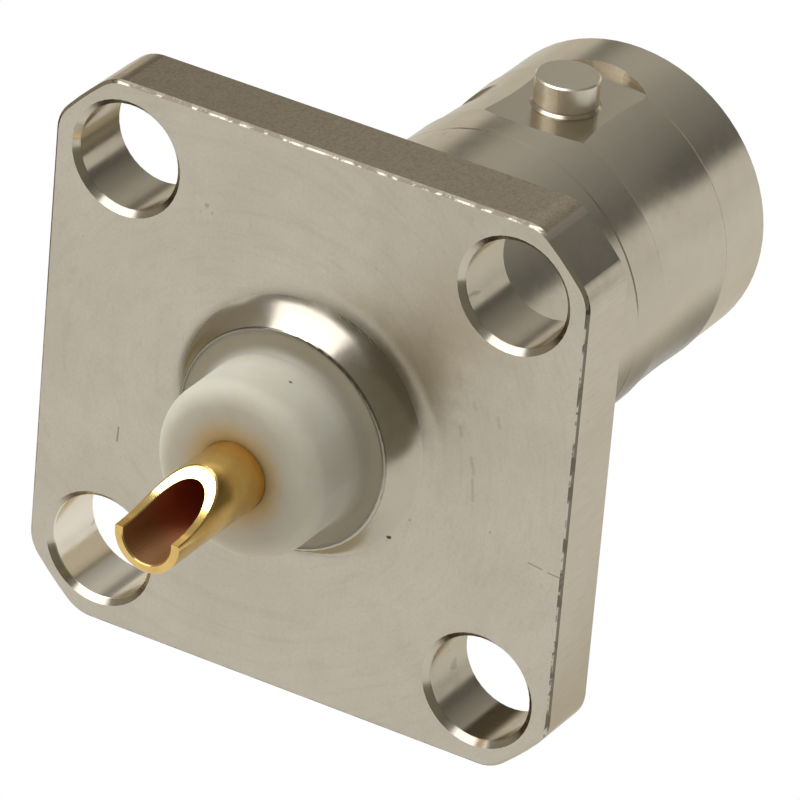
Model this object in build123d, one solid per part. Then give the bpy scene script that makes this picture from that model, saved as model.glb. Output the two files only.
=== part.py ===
from build123d import *
import math
import os

# Panel-mount bayonet coaxial jack with a square four-hole flange and a solder-cup contact.
# The connector's axis lies along Y. The mating mouth faces +Y and the solder side faces -Y.
# The origin is on the axis, in the rear face of the flange. +Z is up. Millimetres.

# Flange, cut from round bar, so its corners are arcs about the connector's axis.
# The edge margin runs from a hole's centre to the nearest side.
# The corner wall is the metal between a hole and the corner arc.
flange_thickness = 2.20
flange_corner_round = 1.20
flange_edge_break = 0.10
hole_pitch = 12.70
hole_diameter = 3.25
hole_chamfer = 0.18
hole_edge_margin = 2.375
hole_corner_wall = 0.57

# Barrel, measured from the flange's front face to the mouth.
# A rise is how far a stretch stands out past the front collar.
barrel_length = 16.20
collar_diameter = 9.66
collar_length = 2.55
lug_band_length = 3.65
lug_band_rise = 0.03
lug_band_waist = 0.05
land_length = 1.65
land_rise = 0.07
shank_rise = 0.06
step_run = 0.07
nose_chamfer = 0.25

# Mouth, which takes the plug's spring fingers round the front insulator
mouth_bore = 8.10
mouth_depth = 8.40
mouth_lead_in = 0.20

# Bayonet lugs, each left standing in a round milled spot face
lug_diameter = 1.95
lug_setback = 4.32
lug_span = 11.00
lug_tip_chamfer = 0.05
lug_foot_flare = 0.08
spot_face_depth = 0.27
spot_face_radius = 2.55

# Nick in the barrel's outline, high on the side away from the viewer's right
nick_angle = 137.0
nick_setback = 4.15
nick_depth = 0.24
nick_radius = 1.40

# Rear boss, whose thin lip is rolled over the edge of the rear insulator's cap
boss_base_diameter = 7.90
boss_height = 1.10
boss_foot_radius = 0.12
lip_rim_diameter = 6.80
lip_edge = 0.06
lip_length = 0.25
lip_wall = 0.07

# Insulators. The front one seats on a shoulder in the body, and the two meet at the joint, inside.
# The rear one has a bush in the body's bore, a cap under the lip and a nose behind the cap.
seat_clearance = 0.01
insulator_diameter = 6.00
joint_offset = 1.80
shoulder_length = 2.50
sleeve_diameter = 4.70
sleeve_recess = 3.20
sleeve_edge = 0.20
cap_length = 0.60
rear_nose_diameter = 5.40
rear_nose_reach = 3.65
rear_nose_edge = 0.60
rear_nose_root = 0.25

# Centre contact
contact_diameter = 2.10
contact_recess = 3.50
socket_bore = 1.35
socket_depth = 5.60
socket_lead_in = 0.20
slot_width = 0.20
slot_length = 4.20
collar_flange_diameter = 3.00
collar_flange_length = 1.20
cup_reach = 8.15
cup_bore = 1.55
cup_depth = 4.60
cup_edge = 0.04
scoop_radius = 4.90
scoop_floor = 0.12

flange_side = hole_pitch + 2 * hole_edge_margin
flange_bar_radius = (hole_pitch * math.sqrt(2) + hole_diameter) / 2 + hole_corner_wall
mouth_y = flange_thickness + barrel_length
seat_y = mouth_y - mouth_depth
joint_y = flange_thickness + joint_offset
shoulder_y = joint_y + shoulder_length
lug_y = mouth_y - lug_setback
collar_y = mouth_y - collar_length
band_y = collar_y - lug_band_length
land_y = band_y - land_length
lip_y = -boss_height + lip_length
cap_seat_y = -boss_height + cap_length
barrel_radius = collar_diameter / 2
spot_face_radius_from_axis = barrel_radius - spot_face_depth


def turned(*points):
    """Solid turned about the connector's axis from (radius, y) points."""
    outline = Polyline(*points, close=True)
    return revolve(make_face(outline), Axis.Y)


def rod(radius, y_from, y_to):
    """Plain round bar on the axis between two stations."""
    return turned((0, y_from), (radius, y_from), (radius, y_to), (0, y_to))


def flange_plate():
    """Square plate limited by the round bar, with broken edges and four chamfered holes."""
    outline = Rectangle(flange_side, flange_side) & Circle(flange_bar_radius)
    outline = fillet(outline.vertices(), flange_corner_round)
    # This plane's normal points to -Y, so a negative length grows the plate to +Y.
    plate = extrude(Plane.XZ * outline, -flange_thickness)
    rims = plate.edges().filter_by(lambda edge: abs(edge.bounding_box().size.Y) < 0.001)
    plate = chamfer(rims, flange_edge_break)
    for x in (-hole_pitch / 2, hole_pitch / 2):
        for z in (-hole_pitch / 2, hole_pitch / 2):
            plate -= Pos(x, 0, z) * hole_cutter()
    return plate


def hole_cutter():
    """Through hole with a countersunk edge on the flange's rear face."""
    bore = hole_diameter / 2
    rim = bore + 2 * hole_chamfer
    return turned(
        (0, -hole_chamfer), (rim, -hole_chamfer), (bore, hole_chamfer),
        (bore, 2 * flange_thickness), (0, 2 * flange_thickness))


def barrel_profile():
    """Half section of the barrel: shank, land, waisted lug band and front collar."""
    shank = barrel_radius + shank_rise
    land = barrel_radius + land_rise
    band = barrel_radius + lug_band_rise
    inner = barrel_radius / 2
    band_mid = (band_y + collar_y) / 2
    lines = [
        Line((inner, 0), (shank, 0)),
        Line((shank, 0), (shank, land_y)),
        Line((shank, land_y), (land, land_y + step_run)),
        Line((land, land_y + step_run), (land, band_y - step_run)),
        Line((land, band_y - step_run), (band, band_y)),
        ThreePointArc((band, band_y), (band - lug_band_waist, band_mid), (band, collar_y)),
        Line((band, collar_y), (barrel_radius, collar_y + step_run)),
        Line((barrel_radius, collar_y + step_run), (barrel_radius, mouth_y - nose_chamfer)),
        Line((barrel_radius, mouth_y - nose_chamfer), (barrel_radius - nose_chamfer, mouth_y)),
        Line((barrel_radius - nose_chamfer, mouth_y), (inner, mouth_y)),
        Line((inner, mouth_y), (inner, 0)),
    ]
    return make_face(Wire(lines))


def spot_face_cutter():
    """Round pocket that a mill sinks about a lug's own axis, down to a flat floor."""
    return Pos(0, lug_y, spot_face_radius_from_axis) * extrude(Circle(spot_face_radius), barrel_radius)


def lug():
    """Round pin that the plug's bayonet ramp rides on, flared where it leaves the pocket's floor."""
    radius = lug_diameter / 2
    skirt = radius + 2 * lug_foot_flare
    floor = spot_face_radius_from_axis
    tip = lug_span / 2
    hidden = (floor + mouth_bore / 2) / 2
    outline = make_face(Polyline(
        (0, hidden), (skirt, hidden), (skirt, floor), (radius, floor), (radius, tip), (0, tip),
        close=True))
    outline = chamfer(outline.vertices().sort_by_distance((radius, floor))[0], lug_foot_flare)
    outline = chamfer(outline.vertices().sort_by_distance((radius, tip))[0], lug_tip_chamfer)
    return Pos(0, lug_y, 0) * Rot(90, 0, 0) * revolve(outline, Axis.Y)


def nick_cutter():
    """Round-bottomed nick across the barrel, as deep as its radius reaches into the outline."""
    tool = Cylinder(nick_radius, 2 * barrel_radius, rotation=(0, 90, 0))
    reach = barrel_radius - nick_depth + nick_radius
    return Rot(0, 90 - nick_angle, 0) * Pos(0, mouth_y - nick_setback, reach) * tool


def boss_side(y):
    """Radius of the boss's coned side at a station between its rim and the flange."""
    base = boss_base_diameter / 2
    rim = lip_rim_diameter / 2
    return rim + (base - rim) * (y + boss_height) / boss_height


def bore_cutter():
    """Everything inside the body: mouth, sleeve bore, bush bore and the cap's seat under the lip."""
    mouth = mouth_bore / 2
    sleeve = sleeve_diameter / 2 + seat_clearance
    insulator = insulator_diameter / 2 + seat_clearance
    cap = boss_side(lip_y) - lip_wall
    return turned(
        (0, -boss_height), (lip_rim_diameter / 2 - lip_wall, -boss_height), (cap, lip_y), (cap, cap_seat_y),
        (insulator, cap_seat_y), (insulator, shoulder_y), (sleeve, shoulder_y), (sleeve, seat_y),
        (mouth, seat_y), (mouth, mouth_y - mouth_lead_in), (mouth + mouth_lead_in, mouth_y), (0, mouth_y))


def boss():
    """Rear boss with a small fillet where it leaves the flange, a coned side and a thin rolled rim."""
    base = boss_base_diameter / 2
    rim = lip_rim_diameter / 2
    skirt = base + boss_foot_radius
    hidden_y = flange_thickness / 2
    outline = make_face(Polyline(
        (0, hidden_y), (skirt, hidden_y), (skirt, 0), (base, 0), (rim, -boss_height),
        (0, -boss_height), close=True))
    for corner, radius in (((base, 0), boss_foot_radius), ((rim, -boss_height), lip_edge)):
        outline = fillet(outline.vertices().sort_by_distance(corner)[0], radius)
    return revolve(outline, Axis.Y)


def body():
    """Flange, boss, barrel and lugs, which are one piece of metal."""
    shell = flange_plate() + boss() + revolve(barrel_profile(), Axis.Y)
    shell += rod(barrel_radius / 2 + seat_clearance, -boss_height / 2, mouth_y)
    for turn in (0, 180):
        shell -= Rot(0, turn, 0) * spot_face_cutter()
    shell -= nick_cutter()
    for turn in (0, 180):
        shell += Rot(0, turn, 0) * lug()
    return shell - bore_cutter()


def front_insulator():
    """Sleeve round the socket, with a shoulder that seats in the body and a pocket for the collar."""
    sleeve = sleeve_diameter / 2
    shoulder = insulator_diameter / 2
    bore = contact_diameter / 2 + seat_clearance
    pocket = collar_flange_diameter / 2 + seat_clearance
    front_y = mouth_y - sleeve_recess
    pocket_y = joint_y + collar_flange_length / 2
    return turned(
        (pocket, joint_y), (shoulder, joint_y), (shoulder, shoulder_y), (sleeve, shoulder_y),
        (sleeve, front_y - sleeve_edge), (sleeve - sleeve_edge, front_y), (bore, front_y),
        (bore, pocket_y), (pocket, pocket_y))


def rear_insulator():
    """Bush in the rear bore, with a cap that the lip holds and a soft-edged nose behind the cap."""
    nose = rear_nose_diameter / 2
    cap = boss_side(lip_y) - lip_wall - seat_clearance
    cap_face = lip_rim_diameter / 2 - lip_wall - seat_clearance
    bush = insulator_diameter / 2
    bore = contact_diameter / 2 + seat_clearance
    pocket = collar_flange_diameter / 2 + seat_clearance
    pocket_y = joint_y - collar_flange_length / 2
    outline = make_face(Polyline(
        (bore, -rear_nose_reach), (nose, -rear_nose_reach), (nose, -boss_height),
        (cap_face, -boss_height), (cap, lip_y), (cap, cap_seat_y), (bush, cap_seat_y),
        (bush, joint_y), (pocket, joint_y), (pocket, pocket_y), (bore, pocket_y), close=True))
    for corner, radius in (
            ((nose, -rear_nose_reach), rear_nose_edge), ((nose, -boss_height), rear_nose_root)):
        outline = fillet(outline.vertices().sort_by_distance(corner)[0], radius)
    return revolve(outline, Axis.Y)


def socket_cutters():
    """Pin bore with its lead-in and a drill-point end, and the crossed slots that free the tines."""
    bore = socket_bore / 2
    tip_y = mouth_y - contact_recess
    end_y = tip_y - socket_depth
    hole = turned(
        (0, end_y - bore / 2), (bore, end_y), (bore, tip_y - socket_lead_in),
        (bore + socket_lead_in, tip_y), (0, tip_y))
    slot = Pos(0, tip_y - slot_length, 0) * Box(
        slot_width, slot_length, contact_diameter, align=(Align.CENTER, Align.MIN, Align.CENTER))
    return [hole, slot, Rot(0, 90, 0) * slot]


def cup_cutters():
    """Wire bore of the solder cup and the scoop that opens its top."""
    bore = cup_bore / 2
    end_y = -cup_reach + cup_depth
    hole = turned((0, -cup_reach), (bore, -cup_reach), (bore, end_y), (0, end_y + bore / 2))
    scoop = Pos(0, -cup_reach, scoop_floor + scoop_radius) * Cylinder(
        scoop_radius, 2 * contact_diameter, rotation=(0, 90, 0))
    return [hole, scoop]


def cup_rims(pin):
    """Curved edges round the open end of the cup and along its scoop."""
    end_y = -cup_reach + cup_depth
    edges = pin.edges().filter_by(lambda edge: edge.bounding_box().max.Y < end_y - cup_edge)
    return edges.filter_by(lambda edge: edge.geom_type != GeomType.LINE)


def centre_contact():
    """Slotted socket, trapped collar and solder cup, turned as one piece."""
    radius = contact_diameter / 2
    collar = collar_flange_diameter / 2
    collar_from = joint_y - collar_flange_length / 2
    collar_to = joint_y + collar_flange_length / 2
    pin = rod(radius, -cup_reach, mouth_y - contact_recess)
    pin += rod(collar, collar_from, collar_to)
    for cutter in socket_cutters() + cup_cutters():
        pin -= cutter
    return chamfer(cup_rims(pin), cup_edge)


os.makedirs("parts", exist_ok=True)
for name, make in (
    ("body", body),
    ("front_insulator", front_insulator),
    ("rear_insulator", rear_insulator),
    ("centre_contact", centre_contact),
):
    piece = make()
    export_step(piece, f"parts/{name}.step")
    size = piece.bounding_box().size
    print(f"{name}: {piece.volume:.2f} mm3, {size.X:.2f} x {size.Y:.2f} x {size.Z:.2f} mm")
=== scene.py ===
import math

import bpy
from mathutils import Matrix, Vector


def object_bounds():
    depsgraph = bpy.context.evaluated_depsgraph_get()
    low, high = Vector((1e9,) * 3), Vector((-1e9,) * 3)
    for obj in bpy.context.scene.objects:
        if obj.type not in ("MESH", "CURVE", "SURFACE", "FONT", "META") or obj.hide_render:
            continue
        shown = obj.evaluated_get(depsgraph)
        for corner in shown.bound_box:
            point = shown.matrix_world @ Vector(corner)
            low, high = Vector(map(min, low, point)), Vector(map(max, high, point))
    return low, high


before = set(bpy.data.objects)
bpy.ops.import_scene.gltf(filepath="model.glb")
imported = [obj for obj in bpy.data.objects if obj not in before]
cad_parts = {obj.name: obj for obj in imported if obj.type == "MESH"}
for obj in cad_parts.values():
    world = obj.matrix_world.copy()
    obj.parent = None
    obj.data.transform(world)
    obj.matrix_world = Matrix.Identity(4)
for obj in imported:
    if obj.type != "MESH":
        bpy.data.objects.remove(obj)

# %% [markdown]
# A panel-mount coaxial jack, seen from its solder side. The CAD model already holds its forms: the
# flange, the boss, the barrel with its lugs, two insulators and the contact. So this script adds
# no new shapes. It builds a camera, a small photo studio and three finishes: nickel plate, white
# insulator and gold plate. The CAD pieces could be remodelled here, but a copy would only drift
# away from the real sizes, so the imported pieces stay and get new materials.

cad_box = [list(corner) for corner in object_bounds()]
MM = 0.001


def metres(lengths):
    """Lengths or a point given in millimetres, in metres."""
    return [v * MM for v in lengths]


def in_mm(lengths, digits=1):
    """Lengths or a point in metres, in rounded millimetres for printing."""
    return [round(v / MM, digits) for v in lengths]


print("CAD box in mm:", [in_mm(corner, 2) for corner in cad_box])

# %% [markdown]
# A product photographer uses a long lens from well back. Here the camera stands more than 14
# flange widths away, which keeps the square flange nearly square. The same view could be framed
# with a short lens close up, but then the front corner would swell. The camera is placed by its
# direction from a point near the flange, and then rolled a little about its own line of sight,
# because the photographed part leans that way.

# %% Camera
view_target = Vector((2.13, 1.74, 0.81)) * MM
view_azimuth = math.radians(28.676)
view_elevation = math.radians(29.063)
view_roll = math.radians(5.013)
view_distance = 253.6 * MM
lens_length = 405
sensor_width = 36
clip_near = 10 * MM
clip_far = 5000 * MM

line_of_sight = Vector((
    -math.sin(view_azimuth) * math.cos(view_elevation),
    math.cos(view_azimuth) * math.cos(view_elevation),
    -math.sin(view_elevation)))
camera_data = bpy.data.cameras.new("camera")
camera_data.sensor_width = sensor_width
camera_data.lens = lens_length
camera_data.clip_start = clip_near
camera_data.clip_end = clip_far
camera = bpy.data.objects.new("camera", camera_data)
level = line_of_sight.to_track_quat("-Z", "Y").to_matrix()
roll = Matrix.Rotation(view_roll, 3, "Z")
stand = Matrix.Translation(view_target - view_distance * line_of_sight)
camera.matrix_world = stand @ (level @ roll).to_4x4()
bpy.context.scene.collection.objects.link(camera)
bpy.context.scene.camera = camera
print("camera at mm:", in_mm(camera.matrix_world.translation))

# %% [markdown]
# Materials are trees of small nodes. A few helpers keep the trees readable: one adds a node with
# its settings and inputs, and the others do sums, soft steps, colour mixes and vectors. Wiring
# every node by hand would do the same, but the idea of each material would drown in the wiring.

# %% Helper that adds a node
def add(tree, kind, settings=None, **inputs):
    """New node. Inputs are given by name, or as i0, i1 and so on by number."""
    node = tree.nodes.new(kind)
    for name, value in (settings or {}).items():
        setattr(node, name, value)
    for name, value in inputs.items():
        numbered = name[0] == "i" and name[1:].isdigit()
        socket = node.inputs[int(name[1:]) if numbered else name.replace("_", " ")]
        if isinstance(value, bpy.types.NodeSocket):
            tree.links.new(value, socket)
        else:
            socket.default_value = value
    return node


def listed(*helpers):
    """Print the names of the helpers that a cell makes."""
    print("helpers:", ", ".join(helper.__name__ for helper in helpers))


listed(add)


# %% Helpers for sums and soft steps, on sockets or numbers
def maths(tree, operation, a, b=0.0, clamp=False):
    """One arithmetic step."""
    return add(tree, "ShaderNodeMath", {"operation": operation, "use_clamp": clamp}, i0=a, i1=b).outputs[0]


def times(tree, first, *others):
    """Product."""
    for other in others:
        first = maths(tree, "MULTIPLY", first, other)
    return first


def plus(tree, first, *others):
    """Sum."""
    for other in others:
        first = maths(tree, "ADD", first, other)
    return first


def weighted(tree, *parts):
    """Sum of masks, each given with its weight."""
    return plus(tree, *(times(tree, mask, weight) for mask, weight in parts))


def soft_step(tree, value, low, high, to_low=0.0, to_high=1.0):
    """Soft step from one level to another while a value goes from low to high."""
    return add(tree, "ShaderNodeMapRange", {"interpolation_type": "SMOOTHSTEP"},
               i0=value, i1=low, i2=high, i3=to_low, i4=to_high).outputs[0]


def falling(tree, value, low, high):
    """Soft step down from 1 to 0."""
    return soft_step(tree, value, low, high, 1.0, 0.0)


listed(maths, times, plus, weighted, soft_step, falling)


# %% Helpers for colours and vectors
def mix(tree, factor, a, b):
    """Colour between two others."""
    return add(tree, "ShaderNodeMix", {"data_type": "RGBA"}, i0=factor, i6=a, i7=b).outputs[2]


def layered(tree, tone, layers):
    """Colour with layers laid over it, each given as (mask, strength, colour)."""
    for mask, strength, colour in layers:
        tone = mix(tree, times(tree, mask, strength), tone, colour)
    return tone


def split(tree, vector):
    """The x, y and z of a vector."""
    return add(tree, "ShaderNodeSeparateXYZ", i0=vector).outputs


def join(tree, x, y, z):
    """A vector from three numbers or sockets."""
    return add(tree, "ShaderNodeCombineXYZ", i0=x, i1=y, i2=z).outputs[0]


def vectors(tree, operation, a, b):
    """One step on two vectors. A distance or a dot product gives a number."""
    gives = "Value" if operation in ("DISTANCE", "DOT_PRODUCT") else "Vector"
    return add(tree, "ShaderNodeVectorMath", {"operation": operation}, i0=a, i1=b).outputs[gives]


def scaled(tree, vector, factor):
    """A vector made longer or shorter."""
    return add(tree, "ShaderNodeVectorMath", {"operation": "SCALE"}, i0=vector, Scale=factor).outputs[0]


def distance(tree, across, up):
    """Length of a flat step, such as the distance from the connector's axis."""
    return maths(tree, "SQRT", plus(tree, times(tree, across, across), times(tree, up, up)))


listed(mix, layered, split, join, vectors, scaled, distance)

# %% [markdown]
# Bright metal has hardly any colour of its own: it shows the room. In the photograph the low
# directions are white table, the room above is dim, and one soft lamp hangs overhead. The floor
# is a plain sheet that is lit as white paper, so that it catches the part's shadow, and that
# glows white for the camera and, for the most part, for mirror and glass rays as well. Lamps
# alone could light the paper to white, but they would burn out the white insulator first.

# %% Floor: the paper
camera_share = 0.97
mirror_share = 0.80
mirror_level = 0.80
paper_tone = (0.86, 0.86, 0.85, 1)
white_glow = (1, 1, 1, 1)

paper = bpy.data.materials.new("studio_paper")
paper.use_nodes = True
tree = paper.node_tree
tree.nodes.clear()
rays = add(tree, "ShaderNodeLightPath").outputs
mirrored = maths(tree, "ADD", rays["Is Glossy Ray"], rays["Is Transmission Ray"], clamp=True)
to_camera = times(tree, rays["Is Camera Ray"], camera_share)
to_mirror = times(tree, mirrored, mirror_share)
glow_share = maths(tree, "MAXIMUM", to_camera, to_mirror)
glow_level = maths(tree, "MAXIMUM", rays["Is Camera Ray"], times(tree, mirrored, mirror_level))
lit = add(tree, "ShaderNodeBsdfDiffuse", Color=paper_tone)
glow = add(tree, "ShaderNodeEmission", Color=white_glow, Strength=glow_level)
both = add(tree, "ShaderNodeMixShader", i0=glow_share, i1=lit.outputs[0], i2=glow.outputs[0])
add(tree, "ShaderNodeOutputMaterial", Surface=both.outputs[0])
print("material:", paper.name)


# %% Floor: the sheet
def sheet(name, corners, material):
    """Flat four-cornered piece of the studio."""
    mesh = bpy.data.meshes.new(name)
    mesh.from_pydata(corners, [], [(0, 1, 2, 3)])
    mesh.materials.append(material)
    board = bpy.data.objects.new(name, mesh)
    bpy.context.scene.collection.objects.link(board)
    return board


floor_drop = 16 * MM
floor_half = 2.0
floor_z = cad_box[0][2] - floor_drop
corner_signs = ((-1, -1), (1, -1), (1, 1), (-1, 1))
floor = sheet("studio_floor", [(a * floor_half, b * floor_half, floor_z) for a, b in corner_signs], paper)
print("floor at mm:", round(floor_z / MM, 2))

# %% [markdown]
# The room behind the lamps is painted in the world shader. It is pale up to a little above the
# horizon, and dim above that. The dim part is lightest a little left of the middle and darkest on
# the right, which gives the barrel the paler top and the dark band that the photograph shows. At
# the far right it brightens again, up to the white that a new ramp ends in. A picture of a room
# could be mapped here instead, but one soft step and a ramp are easier to move.

# %% Room
horizon_low = 0.20
horizon_high = 0.28
horizon_tone = (0.76, 0.75, 0.73, 1)
room_tint = (1.0, 0.985, 0.94)
room_tones = (           # place from left to right, and tone
    (0.00, 0.28), (0.18, 0.24), (0.24, 0.24), (0.30, 0.48), (0.38, 0.50), (0.47, 0.42),
    (0.56, 0.33), (0.68, 0.24), (0.76, 0.13), (0.84, 0.13))

world = bpy.data.worlds.new("studio_room")
bpy.context.scene.world = world
world.use_nodes = True
tree = world.node_tree
tree.nodes.clear()
side, _, height = split(tree, add(tree, "ShaderNodeTexCoord").outputs["Generated"])
left_to_right = times(tree, plus(tree, side, 1.0), 0.5)
ramp = add(tree, "ShaderNodeValToRGB", i0=left_to_right)
stops = ramp.color_ramp.elements
for across, tone in room_tones:
    stops.new(across).color = (*(tone * tint for tint in room_tint), 1)
stops.remove(stops[0])   # the black that a new ramp starts with
room = mix(tree, soft_step(tree, height, horizon_low, horizon_high), horizon_tone, ramp.outputs[0])
background = add(tree, "ShaderNodeBackground", Color=room, Strength=1.0)
add(tree, "ShaderNodeOutputWorld", Surface=background.outputs[0])
print("room tones:", [(round(stop.position, 2), round(stop.color[0], 2)) for stop in stops])

# %% [markdown]
# One soft lamp overhead gives most of the light, and a weak one at the left opens the shadows on
# the insulator. A single larger lamp could do both jobs, but then the shadow on the floor would
# fade away. Mirror rays don't see the weak lamp, since it would put a second bright spot on the
# metal.

# %% Lamps
def softbox(name, direction, far, size, watts, colour, shows_in_metal):
    """Square soft lamp that hangs in a direction from the part and faces it."""
    towards = Vector(direction).normalized()
    turn = towards.to_track_quat("Z", "Y").to_matrix().to_4x4()
    data = bpy.data.lights.new(name, "AREA")
    data.shape = "SQUARE"
    data.size = size
    data.energy = watts
    data.color = colour
    lamp = bpy.data.objects.new(name, data)
    lamp.matrix_world = Matrix.Translation(towards * far) @ turn
    lamp.visible_camera = False
    lamp.visible_glossy = shows_in_metal
    bpy.context.scene.collection.objects.link(lamp)
    print(name, "at mm:", in_mm(lamp.matrix_world.translation, 0))


softbox("lamp_overhead", direction=(-0.29, -0.01, 0.95), far=0.50, size=0.24, watts=2.15,
        colour=(0.88, 0.94, 1.0), shows_in_metal=True)
softbox("lamp_left", direction=(-0.75, -0.45, 0.45), far=0.60, size=0.30, watts=0.80,
        colour=(1.0, 1.0, 1.0), shows_in_metal=False)

# %% [markdown]
# Shiny metal looks like metal because of the dark things it mirrors as much as the bright ones.
# Photographers hang a long bright strip above the part, and stand black cards, called flags, just
# outside the picture. Only mirror rays see these cards, so they draw a bright edge and dark bands
# on the nickel and neither light nor shade anything else. Darker patches could be painted on the
# metal instead, but paint would stay put when the part is turned, and a mirrored card doesn't.

# %% Cards, one bright and three dark
def card(name, centre, across, up, tone):
    """Rectangle from its centre and two half-edges in millimetres. Only mirror rays see it."""
    centre, across, up = (Vector(v) * MM for v in (centre, across, up))
    cloth = bpy.data.materials.new(name)
    cloth.use_nodes = True
    cloth.node_tree.nodes.clear()
    even = add(cloth.node_tree, "ShaderNodeEmission", Color=(*tone, 1), Strength=1.0)
    add(cloth.node_tree, "ShaderNodeOutputMaterial", Surface=even.outputs[0])
    board = sheet(name, [centre + a * across + b * up for a, b in corner_signs], cloth)
    board.visible_camera = False
    board.visible_diffuse = False
    board.visible_shadow = False
    print(name, "covers mm:", in_mm((2 * across.length, 2 * up.length), 0))


card("strip_overhead", centre=(-145, -241, 423), across=(234, -70, 73), up=(23, 149, 71),
     tone=(2.1, 2.1, 2.2))
card("flag_right", centre=(60, -5, 100), across=(0, 65, 0), up=(0, 0, 120), tone=(0.195, 0.185, 0.15))
card("flag_left", centre=(-45, 12, 8), across=(0, 30, 0), up=(0, 0, 30), tone=(0.28, 0.25, 0.20))
card("flag_front", centre=(42, -100, 35), across=(68, 0, 0), up=(0, 0, 60), tone=(0.13, 0.12, 0.095))

# %% [markdown]
# The nickel and the gold were turned on a lathe and then plated, and the white rod was turned
# too, so all three carry fine rings about the axis. All three also have soft clouds, where they
# were handled or where the plating is uneven. The nickel and the white have small specks, and the
# nickel has scratches as well. Each of these effects is one shader node group, built once and
# placed in each material with its own values. Copying the nodes into each material would look
# the same, but a change would then have to be made three times.

# %% Shared effects: how a group starts, and how it is placed
def new_group(name, inputs, output):
    """Empty group with its inputs as (label, kind, value), and its one output."""
    group = bpy.data.node_groups.new(name, "ShaderNodeTree")
    for label, kind, value in inputs:
        socket = group.interface.new_socket(label, in_out="INPUT", socket_type="NodeSocket" + kind)
        if value is not None:
            socket.default_value = value
    group.interface.new_socket(output, in_out="OUTPUT", socket_type="NodeSocketFloat")
    source = group.nodes.new("NodeGroupInput").outputs
    result = group.nodes.new("NodeGroupOutput").inputs[0]
    print("group:", name, "with inputs", [label for label, _, _ in inputs])
    return group, source, result


def place(tree, group, **inputs):
    """Output of a group placed in a material with its own values."""
    return add(tree, "ShaderNodeGroup", {"node_tree": group}, **inputs).outputs[0]


listed(new_group, place)

# %% Distance from the nearest flange hole's own axis
hole_offset = 12.70 * MM / 2

hole_distance, source, result = new_group("hole_distance", (("Place", "Vector", None),), "Distance")
tree = hole_distance
x, _, z = split(tree, source["Place"])
from_hole = [maths(tree, "SUBTRACT", maths(tree, "ABSOLUTE", v), hole_offset) for v in (x, z)]
tree.links.new(distance(tree, *from_hole), result)

# %% Turning marks: rings about the connector's axis, but none inside the flange holes
hole_wall = 1.66 * MM

turning_marks, source, result = new_group("turning_marks", (
    ("Place", "Vector", None), ("Pitch", "Float", 0.1), ("Drift", "Float", 0.03)), "Marks")
tree = turning_marks
x, y, z = split(tree, source["Place"])
outside_holes = maths(tree, "GREATER_THAN", place(tree, hole_distance, Place=source["Place"]), hole_wall)
ring = times(tree, distance(tree, x, z), outside_holes)
scale = maths(tree, "DIVIDE", 1 / MM, source["Pitch"])
drift = times(tree, scale, source["Drift"])
rings = join(tree, plus(tree, times(tree, ring, scale), times(tree, x, drift)),
             times(tree, y, scale), times(tree, z, drift))
noise = add(tree, "ShaderNodeTexNoise", Vector=rings, Scale=1.0, Detail=3.0, Roughness=0.65)
tree.links.new(noise.outputs[0], result)

# %% Soft clouds: uneven plating, handling and haze
soft_clouds, source, result = new_group("soft_clouds", (
    ("Place", "Vector", None), ("Size", "Float", 2.0), ("Low", "Float", 0.4), ("High", "Float", 0.6),
    ("Shift", "Float", 0.0)), "Mask")
tree = soft_clouds
spread = scaled(tree, source["Place"], maths(tree, "DIVIDE", 1 / MM, source["Size"]))
moved = vectors(tree, "ADD", spread, source["Shift"])
noise = add(tree, "ShaderNodeTexNoise", Vector=moved, Scale=1.0, Detail=5.0, Roughness=0.6)
tree.links.new(soft_step(tree, noise.outputs[0], source["Low"], source["High"]), result)

# %% Hair scratches: stretched noise, with only its peaks kept
peak_width = 0.05

hair_scratches, source, result = new_group("hair_scratches", (
    ("Place", "Vector", None), ("Turn", "Float", 0.0), ("Length", "Float", 2.0),
    ("Width", "Float", 0.04), ("Level", "Float", 0.68)), "Mask")
tree = hair_scratches
turned = add(tree, "ShaderNodeVectorRotate", {"rotation_type": "Y_AXIS"}, Vector=source["Place"],
             Angle=source["Turn"]).outputs[0]
x, y, z = split(tree, turned)
along = maths(tree, "DIVIDE", 1 / MM, source["Length"])
across = maths(tree, "DIVIDE", 1 / MM, source["Width"])
thin = join(tree, times(tree, x, along), times(tree, y, along), times(tree, z, across))
noise = add(tree, "ShaderNodeTexNoise", Vector=thin, Scale=1.0, Detail=1.0, Roughness=0.5)
peak = plus(tree, source["Level"], peak_width)
tree.links.new(soft_step(tree, noise.outputs[0], source["Level"], peak), result)

# %% Patch: one mark at a given place, from a tiny speck to a wide patch such as painted shade
patch, source, result = new_group("patch", (
    ("Place", "Vector", None), ("Centre", "Vector", None), ("Radius", "Float", 0.08),
    ("Core", "Float", 0.4), ("Grain", "Float", 0.11)), "Mask")
tree = patch
edge = times(tree, source["Radius"], MM)
core = times(tree, edge, source["Core"])
wobble = add(tree, "ShaderNodeTexNoise", Vector=source["Place"],
             Scale=maths(tree, "DIVIDE", 1 / MM, source["Grain"]), Detail=3.0)
gap = vectors(tree, "DISTANCE", source["Place"], source["Centre"])
uneven = times(tree, gap, plus(tree, wobble.outputs[0], 0.5))
tree.links.new(falling(tree, uneven, core, edge), result)

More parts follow.
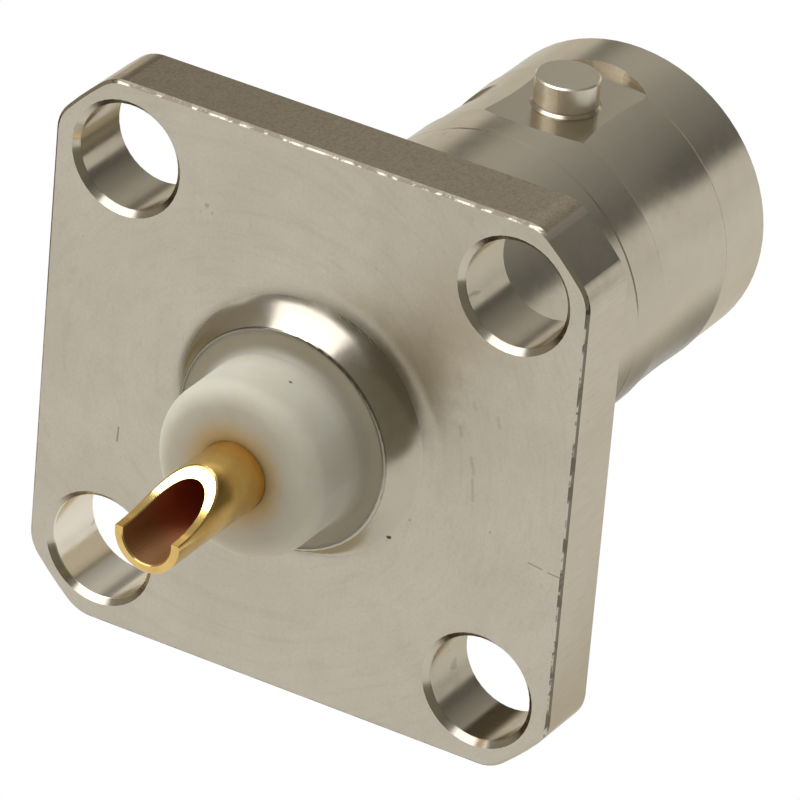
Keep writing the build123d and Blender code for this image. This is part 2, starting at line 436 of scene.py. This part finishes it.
# %% Scratch: one fine straight line from a place to another
scratch, source, result = new_group("scratch", (
    ("Place", "Vector", None), ("From", "Vector", None), ("To", "Vector", None),
    ("Width", "Float", 0.03)), "Mask")
tree = scratch
run = vectors(tree, "SUBTRACT", source["To"], source["From"])
seen = vectors(tree, "SUBTRACT", source["Place"], source["From"])
along = maths(tree, "DIVIDE", vectors(tree, "DOT_PRODUCT", seen, run),
              vectors(tree, "DOT_PRODUCT", run, run), clamp=True)
gap = vectors(tree, "DISTANCE", seen, scaled(tree, run, along))
tree.links.new(falling(tree, gap, 0.0, times(tree, source["Width"], MM)), result)


# %% Materials: how each one starts, and how its marks are laid
def new_material(name):
    """Empty node material, and the place on the object that its textures read."""
    material = bpy.data.materials.new(name)
    material.use_nodes = True
    tree = material.node_tree
    tree.nodes.clear()
    return material, tree, add(tree, "ShaderNodeTexCoord").outputs["Object"]


def strongest(tree, masks):
    """Several masks as one."""
    total = masks[0]
    for mask in masks[1:]:
        total = maths(tree, "MAXIMUM", total, mask)
    return total


def specks(tree, where, spots):
    """All the specks of one material, each given as (centre in mm, radius in mm, depth)."""
    return strongest(tree, [
        times(tree, depth, place(tree, patch, Place=where, Centre=metres(centre), Radius=radius))
        for centre, radius, depth in spots])


def scratches(tree, where, lines):
    """All the scratches of one material, each given as (from, to, half width in mm, depth)."""
    return strongest(tree, [
        times(tree, depth,
              place(tree, scratch, Place=where, From=metres(start), To=metres(end), Width=width))
        for start, end, width, depth in lines])


listed(new_material, strongest, specks, scratches)

# %% [markdown]
# The body is brass with a bright nickel plate over fine turning marks. A clean mirror would look like
# computer metal. The part is used: its edges carry a thin brown tarnish, and specks and fine lines cross
# the flange. The dark underside of the barrel is a painted dark reflection, and the brown patch beside the
# boss is painted shade. Wear could be scattered by noise alone, but the marks that the eye remembers sit at
# one place each, so those are given by their place, and noise only fills in between them.

# %% Nickel plate: its colours
nickel_light = (0.62, 0.565, 0.46, 1)
nickel_dull = (0.585, 0.53, 0.425, 1)
nickel_brown = (0.33, 0.265, 0.17, 1)
nickel_top_brown = (0.36, 0.265, 0.16, 1)
nickel_dark = (0.10, 0.08, 0.055, 1)
# The next colour is a painted highlight, laid on the lugs' sides, the far walls of their spot faces and one
# hole.
nickel_painted_highlight = (0.90, 0.83, 0.70, 1)
nickel_pit = (0.05, 0.04, 0.03, 1)
nickel_mirror_tint = (0.84, 0.79, 0.69, 1)
print("nickel from", nickel_light[:3], "to", nickel_dull[:3])

# %% Nickel plate: its specks and its lines
nickel_specks = (        # centre and radius in mm, and depth from 0 to 1
    ((3.11, 0.0, -2.51), 0.10, 1.0), ((3.73, 0.0, -1.73), 0.05, 0.4), ((-3.6, 0.0, 5.8), 0.09, 0.35),
    ((-3.42, 0.0, 5.62), 0.06, 0.3), ((-3.8, 0.0, 5.55), 0.05, 0.25), ((6.3, 0.0, -1.2), 0.06, 0.3))
nickel_lines = (         # both ends and half width in mm, and depth from 0 to 1
    ((-5.97, 0.0, -2.2), (-5.99, 0.0, -2.65), 0.05, 1.0),
    ((7.6, 0.0, -1.70), (8.05, 0.0, -1.76), 0.035, 1.0),
    ((8.25, 0.0, -1.80), (8.62, 0.0, -1.82), 0.035, 1.0),
    ((5.50, 0.0, 0.90), (5.62, 0.0, 0.45), 0.10, 0.35),
    ((5.60, 0.0, 0.25), (5.66, 0.0, -0.40), 0.08, 0.40),
    ((5.05, 0.0, 1.75), (5.12, 0.0, 1.50), 0.09, 0.35),
    ((6.22, 0.0, 2.45), (6.30, 0.0, 2.15), 0.10, 0.30),
    ((5.40, 0.0, 2.65), (5.50, 0.0, 2.45), 0.10, 0.25))
print("marks on the nickel:", len(nickel_specks), "specks and", len(nickel_lines), "lines")

# %% [markdown]
# One material covers the whole body, so it has to know where it is. A region is a mask made from
# the place and from the way a face looks. Most masks fade between two values, given as a pair.
# The regions could be separate material slots instead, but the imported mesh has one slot, and a
# mask can fade softly where a slot ends in a hard line.

# %% Nickel plate: the flange's face, sides, edges and holes
face_turn = (0.95, 0.99)
side_turn = (0.10, 0.20)
bevel_turn_from = (0.20, 0.50)
bevel_turn_to = (0.80, 0.95)
rim_band = metres((8.55, 8.60))
top_band = metres((8.40, 8.50))
hole_band = metres((1.64, 1.66))
low_left_sum = -8.0 * MM

nickel, tree, where = new_material("nickel_plate")
x, y, z = split(tree, where)
facing = split(tree, add(tree, "ShaderNodeNewGeometry").outputs["True Normal"])
facing_back = times(tree, facing[1], -1.0)
lean = maths(tree, "ABSOLUTE", facing[1])
radius = distance(tree, x, z)
reach = maths(tree, "MAXIMUM", maths(tree, "ABSOLUTE", x), maths(tree, "ABSOLUTE", z))
rim = soft_step(tree, reach, *rim_band)
on_face = soft_step(tree, facing_back, *face_turn)
on_sides = times(tree, rim, falling(tree, lean, *side_turn))
on_top = times(tree, on_sides, soft_step(tree, z, *top_band))
bevel = times(tree, soft_step(tree, lean, *bevel_turn_from), falling(tree, lean, *bevel_turn_to))
in_holes = falling(tree, place(tree, hole_distance, Place=where), *hole_band)
# Painted highlight: the walls of the low-left hole are lightened.
hole_low_left = times(tree, in_holes, maths(tree, "LESS_THAN", plus(tree, x, z), low_left_sum))

# %% Nickel plate: painted dark reflection under the barrel, and painted shade on the boss's lip
under_turn = (0.72, 0.95)
barrel_foot = metres((2.20, 2.30))
barrel_end = metres((15.75, 15.90))
lip_depth = metres((1.02, 1.05))
lip_outside = metres((3.45, 3.50))
lip_shade = metres((-1.0, 1.0))

# Painted dark reflection: the underside of the barrel, from its foot to the end of the lug band, is
# darkened.
downwards = times(tree, maths(tree, "SUBTRACT", x, z), math.sqrt(0.5))
turned_under = maths(tree, "DIVIDE", downwards, radius)
under = times(tree, soft_step(tree, turned_under, *under_turn), soft_step(tree, y, *barrel_foot),
              falling(tree, y, *barrel_end))
behind = times(tree, y, -1.0)
lip = times(tree, soft_step(tree, behind, *lip_depth), falling(tree, radius, *lip_outside),
            soft_step(tree, z, *lip_shade, to_low=0.3))
print("barrel in mm:", in_mm(barrel_foot), "to", in_mm(barrel_end), "and lip inside", in_mm(lip_outside, 2))

# %% Nickel plate: the lugs, and the far wall of their milled spot faces
lug_place = 14.08 * MM
lug_outside = metres((1.00, 1.10))
lug_height = metres((4.60, 4.75))
lug_top_turn = (0.80, 0.95)
wall_turn = (0.30, 0.45)
wall_inside = metres((2.40, 2.45))
wall_outside = metres((2.60, 2.65))
wall_from = metres((15.0, 15.1))

beside_lug = distance(tree, x, maths(tree, "SUBTRACT", y, lug_place))
lug = times(tree, falling(tree, beside_lug, *lug_outside),
            soft_step(tree, maths(tree, "ABSOLUTE", z), *lug_height))
# Painted highlight: the lugs' sides and the far walls of their spot faces get a bright nickel colour.
lug_side = times(tree, lug, falling(tree, maths(tree, "ABSOLUTE", facing[2]), *lug_top_turn))
far_wall = times(tree, soft_step(tree, facing_back, *wall_turn), soft_step(tree, beside_lug, *wall_inside),
                 falling(tree, beside_lug, *wall_outside), soft_step(tree, y, *wall_from))
print("lug at mm:", in_mm([lug_place], 2), "and the far wall of its spot face:", in_mm(wall_inside, 2))

# %% [markdown]
# In the photograph the boss runs out into the flange as one soft burnished flare. The CAD boss is
# a plain cone with a small radius at its foot, and the mesh of a CAD piece is never changed here.
# So only the direction that the metal mirrors is turned: it leans outwards on the cone, and eases
# back to the flange's own direction a little way out. A bump could round the foot as well, but a
# bump works from heights, and here the direction itself follows from the distance to the axis.
# The low half of the cone is also darkened a little, as painted shade.

# %% Nickel plate: the flare of the boss
flare_from = 3.30 * MM
flare_to = 4.75 * MM
flare_lean = math.radians(55)
flare_inside = 3.42 * MM
flare_outside = 5.10 * MM
flare_turn = -0.2
flare_depth = 0.2 * MM
cone_edge = metres((3.90, 4.10))
cone_shade = metres((0.5, 2.5))

lean_here = soft_step(tree, radius, flare_from, flare_to, flare_lean, 0.0)
outward = maths(tree, "DIVIDE", maths(tree, "SINE", lean_here), radius)
flared = join(tree, times(tree, x, outward), times(tree, maths(tree, "COSINE", lean_here), -1.0),
              times(tree, z, outward))
flared = add(tree, "ShaderNodeVectorTransform",
             {"vector_type": "NORMAL", "convert_from": "OBJECT", "convert_to": "WORLD"}, i0=flared)
on_flare = times(tree, maths(tree, "GREATER_THAN", radius, flare_inside),
                 maths(tree, "LESS_THAN", radius, flare_outside),
                 maths(tree, "LESS_THAN", facing[1], flare_turn),
                 maths(tree, "LESS_THAN", y, flare_depth))
own_normal = add(tree, "ShaderNodeNewGeometry").outputs["Normal"]
base_normal = add(tree, "ShaderNodeMix", {"data_type": "VECTOR"}, i0=on_flare, i4=own_normal,
                  i5=flared.outputs[0]).outputs[1]
cone_low_painted_shade = times(tree, on_flare, falling(tree, radius, *cone_edge), falling(tree, z, *cone_shade))
print("flare of the boss in mm:", in_mm((flare_from, flare_to), 2))

# %% [markdown]
# Now the fine texture. Clouds of several sizes, from 3.4 mm down to 0.1 mm, keep the plate from
# being even: the widest shifts its tone, and the finest is the speckle of its face and its top
# edge. The rings of the lathe come in three pitches. The flange's sides were milled, so they
# carry short lines across their thickness. A scanned texture would have all of this at once, but
# it would also have its own light and its own edges.

# %% Nickel plate: clouds, rings and hair scratches
clouds = place(tree, soft_clouds, Place=where, Size=3.4, Low=0.35, High=0.68)
mottle = place(tree, soft_clouds, Place=where, Size=0.55, Low=0.30, High=0.75, Shift=7.0)
broken = place(tree, soft_clouds, Place=where, Size=0.40, Low=0.42, High=0.54, Shift=3.0)
grit = place(tree, soft_clouds, Place=where, Size=0.16, Low=0.60, High=0.72, Shift=11.0)
speckle = place(tree, soft_clouds, Place=where, Size=0.10, Low=0.36, High=0.72, Shift=13.0)
marks = place(tree, turning_marks, Place=where, Pitch=0.16, Drift=0.12)
fine = place(tree, turning_marks, Place=where, Pitch=0.045, Drift=0.02)
wavy = place(tree, turning_marks, Place=where, Pitch=0.30, Drift=0.30)
hairs = strongest(tree, [
    place(tree, hair_scratches, Place=where, Turn=0.5, Length=1.3, Width=0.030, Level=0.75),
    place(tree, hair_scratches, Place=where, Turn=-1.3, Length=0.9, Width=0.040, Level=0.74)])
print("texture of the nickel: 5 sizes of cloud, 3 pitches of ring, 2 sets of hairs")

# %% Nickel plate: milled lines, tarnished edges, a broad darker patch, painted shade beside the boss, and marks
milled_across = 14 / MM
milled_along = 0.7 / MM
outer_edge = metres((8.655, 8.675))
outer_edge_depth = 0.8
broken_depth = 0.9
broad_tone_place = metres((4.9, 0, 5.3))
# Painted shade beside the boss, on its upper right, centred at the next place.
boss_shade_place = metres((3.35, 0, 2.75))

across_plate = join(tree, times(tree, plus(tree, x, z), milled_across), times(tree, y, milled_along), 0.0)
milled = add(tree, "ShaderNodeTexNoise", Vector=across_plate, Scale=1.0, Detail=3.0, Roughness=0.6)
outer_line = times(tree, soft_step(tree, reach, *outer_edge), outer_edge_depth)
tarnish = strongest(tree, [outer_line, times(tree, broken, broken_depth)])
edge_brown = times(tree, bevel, rim, tarnish)
broad_tone = place(tree, patch, Place=where, Centre=broad_tone_place, Radius=3.4, Core=0.0, Grain=1.3)
boss_shade_patch = place(tree, patch, Place=where, Centre=boss_shade_place, Radius=2.1, Core=0.3, Grain=0.5)
spots = specks(tree, where, nickel_specks)
lines = scratches(tree, where, nickel_lines)
print("haze and smudge at mm:", in_mm(broad_tone_place), in_mm(boss_shade_place, 2))

# %% [markdown]
# A plated part wears in layers, and the colour is built the same way: a clouded plate first, then
# one thin layer after another, each with its mask, its strength and its colour. Later layers lie
# over earlier ones, so the pits come last. One picture painted by hand could hold them all, but
# then no single layer could be made weaker or moved on its own.

# %% Nickel plate: its colour
mark_peaks = (0.52, 0.75)
wavy_peaks = (0.48, 0.68)
milled_peaks = (0.35, 0.65)
low_side = metres((-8.0, -2.0))
top_left_to_right = metres((-8.0, 4.0))

nickel_layers = (        # mask, strength and colour
    (mottle, 0.30, nickel_dull),
    (times(tree, on_face, soft_step(tree, marks, *mark_peaks)), 0.08, nickel_brown),
    (times(tree, on_face, soft_step(tree, wavy, *wavy_peaks)), 0.09, nickel_brown),
    # painted shade on the low half of the boss's cone
    (cone_low_painted_shade, 0.20, nickel_brown),
    (times(tree, on_face, grit), 0.22, nickel_brown),
    # a broad darker patch towards the top right of the flange's face
    (times(tree, on_face, broad_tone), 0.30, nickel_brown),
    # painted shade beside the boss
    (boss_shade_patch, 0.45, nickel_brown),
    # painted shade inside the flange holes
    (in_holes, 0.22, nickel_brown),
    # painted highlight in the low-left hole
    (hole_low_left, 0.95, nickel_painted_highlight),
    # painted highlight on the lugs' sides and the far walls of their spot faces
    (lug_side, 1.0, nickel_painted_highlight),
    (far_wall, 1.0, nickel_painted_highlight),
    # painted dark reflection under the barrel
    (under, 0.95, nickel_dark),
    (times(tree, on_sides, soft_step(tree, milled.outputs[0], *milled_peaks)), 0.12, nickel_brown),
    (times(tree, on_sides, falling(tree, z, *low_side)), 0.50, nickel_brown),
    # darker brown on the flange's top edge, a little weaker towards the right
    (times(tree, on_top, soft_step(tree, x, *top_left_to_right, 1.0, 0.85)), 0.48, nickel_top_brown),
    (times(tree, on_top, speckle), 0.30, nickel_dark),
    (times(tree, on_face, speckle), 0.13, nickel_brown),
    # painted shade on the boss's lip, strongest at the top
    (lip, 0.60, nickel_dark),
    (hairs, 0.15, nickel_dark),
    (edge_brown, 0.95, nickel_dark),
    (lines, 0.60, nickel_dark),
    (spots, 0.95, nickel_pit))
tone = layered(tree, mix(tree, clouds, nickel_light, nickel_dull), nickel_layers)
print("nickel:", len(nickel_layers), "colour layers")

# %% Nickel plate: its roughness and relief
nickel_roughness = 0.15
nickel_relief = 0.0012 * MM

wear = weighted(tree, (clouds, 0.05), (mottle, 0.05), (on_face, 0.12), (hairs, 0.10), (lug, 0.12))
dull = plus(tree, wear, nickel_roughness)
height = weighted(tree, (marks, 0.15), (fine, 0.3), (mottle, 0.9), (hairs, -0.4))
relief = add(tree, "ShaderNodeBump", Height=height, Strength=0.5, Distance=nickel_relief,
             Normal=base_normal)
metal = add(tree, "ShaderNodeBsdfPrincipled", Metallic=1.0, Base_Color=tone, Roughness=dull,
            Specular_Tint=nickel_mirror_tint, Normal=relief.outputs[0])
add(tree, "ShaderNodeOutputMaterial", Surface=metal.outputs[0])
print("material:", nickel.name, "with", len(tree.nodes), "nodes")

# %% [markdown]
# The insulators are a waxy white fluoropolymer. Light goes a little way in and comes out beside, which
# softens every edge, so the shader has subsurface scattering. Plain white paint would be quicker to render,
# but it would look like plaster. The gold contact throws a warm halo into the white round its base. It is
# painted as a soft ring about the axis. The cap that lies deep in the boss is shaded, and the low side has
# painted shade: it is darker and warmer than the top.

# %% White insulator: its colours and where they lie
white_light = (0.53, 0.505, 0.43, 1)
white_warm = (0.50, 0.465, 0.37, 1)
white_low_shade = (0.45, 0.39, 0.295, 1)
white_shaded = (0.39, 0.325, 0.225, 1)
white_pit = (0.10, 0.08, 0.06, 1)
halo_tone = (0.52, 0.31, 0.09, 1)
halo_band = metres((0.95, 1.95))
low_band = metres((-2.8, 0.5))
deep_band = metres((-2.10, -1.15))
cap_band = metres((2.45, 3.10))
white_specks = (((0.75, -2.13, 2.60), 0.07, 1.0),)

white, tree, where = new_material("white_insulator")
x, y, z = split(tree, where)
radius = distance(tree, x, z)
halo = falling(tree, radius, *halo_band)
deep = times(tree, soft_step(tree, y, *deep_band), soft_step(tree, radius, *cap_band, to_low=0.4))
low = falling(tree, z, *low_band)
pits = specks(tree, where, white_specks)
print("halo in mm:", in_mm(halo_band, 2), "and cap in mm:", in_mm(cap_band, 2))

# %% White insulator: the material
white_roughness = 0.48
white_relief = 0.002 * MM
scattering_depth = 1.2 * MM

broad_tone = place(tree, soft_clouds, Place=where, Size=1.8, Low=0.35, High=0.65)
grain = place(tree, soft_clouds, Place=where, Size=0.20, Low=0.30, High=0.70, Shift=4.0)
rings = place(tree, turning_marks, Place=where, Pitch=0.09, Drift=0.01)
tone = layered(tree, mix(tree, broad_tone, white_light, white_warm), (
    (grain, 0.25, white_warm),
    # painted shade: darker and warmer towards the bottom
    (low, 0.70, white_low_shade),
    (deep, 0.85, white_shaded),
    (halo, 0.85, halo_tone),
    (pits, 1.0, white_pit)))
dull = plus(tree, times(tree, broad_tone, 0.08), white_roughness)
height = weighted(tree, (rings, 0.5), (grain, 0.5))
relief = add(tree, "ShaderNodeBump", Height=height, Strength=0.5, Distance=white_relief)
wax = add(tree, "ShaderNodeBsdfPrincipled", Base_Color=tone, Roughness=dull, Normal=relief.outputs[0],
          Subsurface_Weight=1.0, Subsurface_Radius=(1.0, 0.85, 0.65), Subsurface_Scale=scattering_depth,
          Specular_IOR_Level=0.30)
add(tree, "ShaderNodeOutputMaterial", Surface=wax.outputs[0])
print("material:", white.name, "with", len(tree.nodes), "nodes")

# %% [markdown]
# The contact is brass under gold. Gold is smoother than the nickel, so the lamps mirror in it as small hard
# lights. In the cup the light bounces from wall to wall, and each bounce deepens gold towards red. Bounces
# alone would do for a clean cup, but they come out paler than the photograph shows, so the inside also has
# a redder, rougher and less metallic colour: brown near the open tip and red further in. That colour is
# partly the cup's own and partly painted shade and painted red bounce light.

# %% Gold plate: its colours and where they lie
gold_light = (0.86, 0.60, 0.22, 1)
gold_deep = (0.76, 0.50, 0.16, 1)
cup_red = (0.56, 0.115, 0.045, 1)
cup_brown = (0.17, 0.05, 0.016, 1)
cup_wall = metres((0.77, 0.80))
cup_floor = metres((-3.40, -3.20))
cup_fade = metres((-7.20, -5.20))

gold, tree, where = new_material("gold_plate")
x, y, z = split(tree, where)
in_cup = times(tree, falling(tree, distance(tree, x, z), *cup_wall), falling(tree, y, *cup_floor))
# Partly the cup's own colour, and partly painted shade and red bounce light.
cup_tone = mix(tree, soft_step(tree, y, *cup_fade), cup_brown, cup_red)
print("the cup lies inside mm:", in_mm(cup_wall, 2), "and behind mm:", in_mm(cup_floor))

# %% Gold plate: the material
gold_roughness = 0.13
gold_relief = 0.001 * MM
gold_peaks = (0.55, 0.75)

clouds = place(tree, soft_clouds, Place=where, Size=0.9, Low=0.35, High=0.65)
marks = place(tree, turning_marks, Place=where, Pitch=0.06, Drift=0.02)
tone = layered(tree, mix(tree, clouds, gold_light, gold_deep), (
    (soft_step(tree, marks, *gold_peaks), 0.30, gold_deep),
    (in_cup, 0.92, cup_tone)))
dull = plus(tree, weighted(tree, (clouds, 0.06), (in_cup, 0.35)), gold_roughness)
metallic = plus(tree, times(tree, in_cup, -0.55), 1.0)
relief = add(tree, "ShaderNodeBump", Height=marks, Strength=0.5, Distance=gold_relief)
bright = add(tree, "ShaderNodeBsdfPrincipled", Metallic=metallic, Base_Color=tone, Roughness=dull,
             Normal=relief.outputs[0])
add(tree, "ShaderNodeOutputMaterial", Surface=bright.outputs[0])
print("material:", gold.name, "with", len(tree.nodes), "nodes")

# %% [markdown]
# Each CAD piece came with a plain material in its slot. The slot gets the new finish, and the
# object and its mesh stay as they are. The two insulators are turned from the same kind of white
# rod, so they share one material. Giving each its own copy would only double the work of a later
# change.

# %% Finishes given to the CAD pieces
finishes = {"body": nickel, "front_insulator": white, "rear_insulator": white, "centre_contact": gold}
for node_name, material in finishes.items():
    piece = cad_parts[node_name]
    for slot in piece.material_slots:
        slot.material = material
    print(node_name, "->", material.name, len(piece.data.polygons), "faces")

# %% [markdown]
# A colour should render about as it is written, so the view transform is the plain one. A filmic transform
# would roll the white background down to grey.

# %% View settings
bpy.context.scene.view_settings.view_transform = "Standard"
print("view:", bpy.context.scene.view_settings.view_transform)
